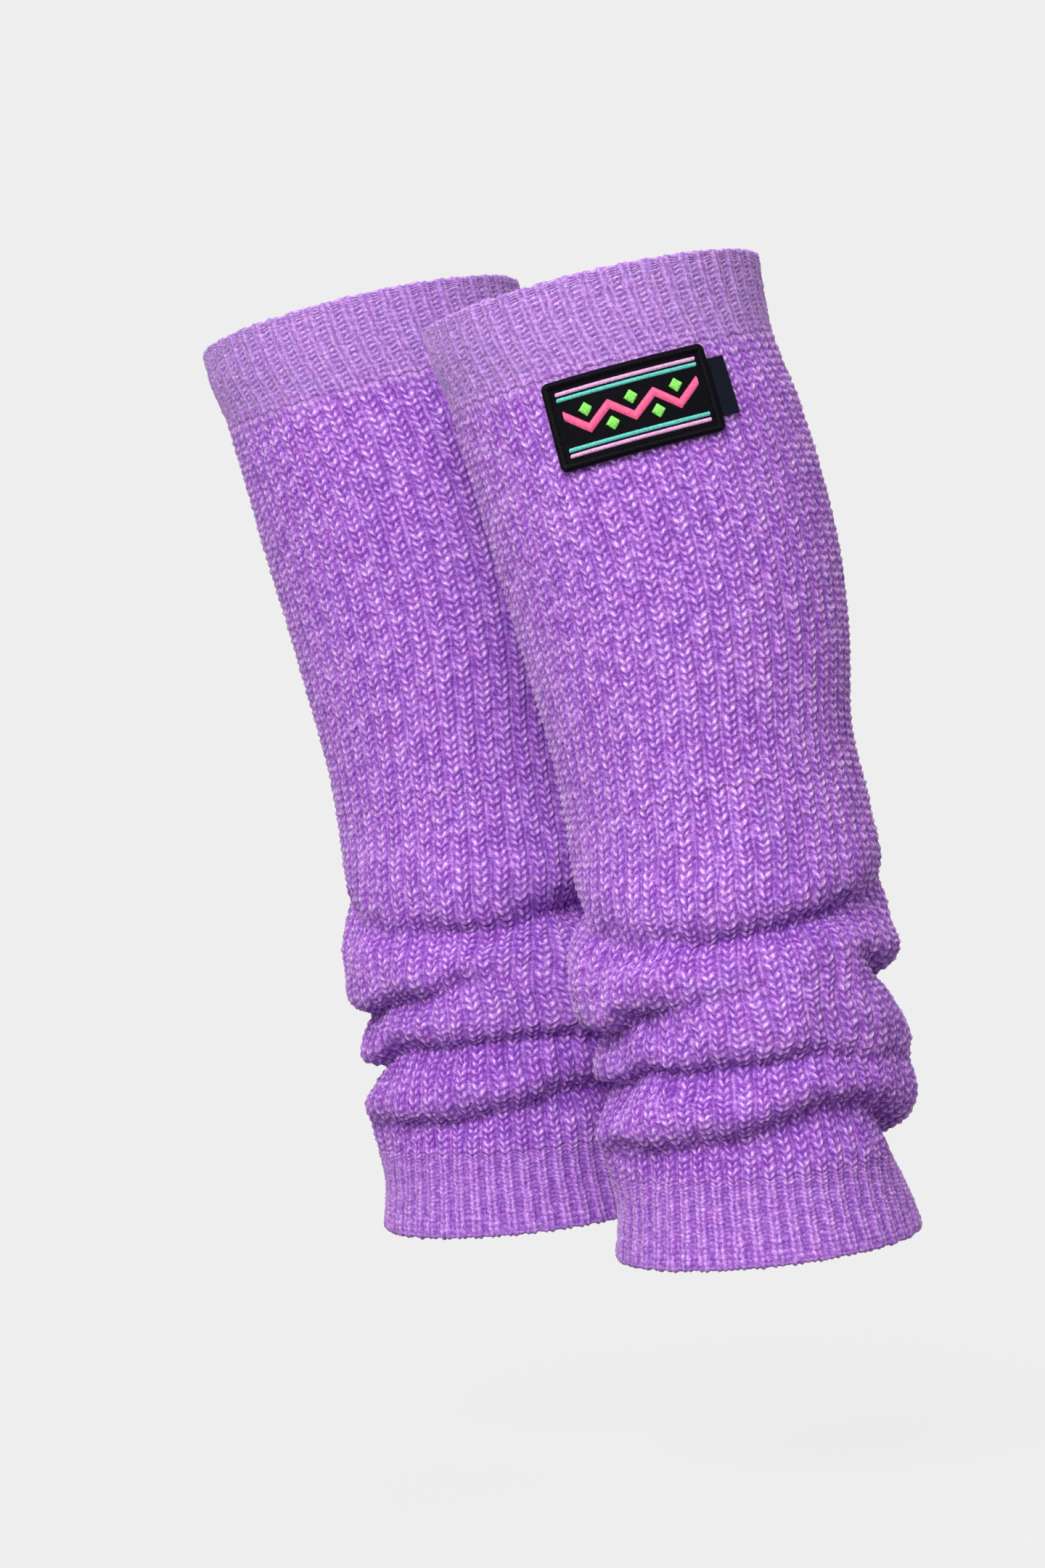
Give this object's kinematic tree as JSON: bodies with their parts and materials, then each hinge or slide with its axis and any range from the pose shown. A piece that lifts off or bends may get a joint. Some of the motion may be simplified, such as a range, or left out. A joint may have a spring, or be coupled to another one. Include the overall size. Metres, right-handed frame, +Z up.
{
  "type": "pair of leg warmers",
  "caption": "Slouchy rib-knit leg warmers as worn, open at knee and ankle, pushed into slanting folds above the ankle, the near one with an embroidered patch and side tab.",
  "frame": {"origin": "centre of the near leg warmer's knee opening, where the wearer's calf holds it", "axes": "+Z up, -Y towards the viewer, +X to the viewer's right; both legs lean 10.5 degrees from +Z with their knees towards -X"},
  "size_m": [0.2677, 0.2447, 0.366],
  "materials": {
    "knit": "matte chunky rib knit in violet marl",
    "patch_thread": "satin embroidery thread",
    "tab_ribbon": "woven ribbon"
  },
  "bodies": {
    "root": {"near_knee_rib": "knit", "near_leg": "knit", "near_ankle_rib": "knit", "far_knee_rib": "knit", "far_leg": "knit", "far_ankle_rib": "knit", "patch": "patch_thread", "side_tab": "tab_ribbon"}
  },
  "joints": []
}
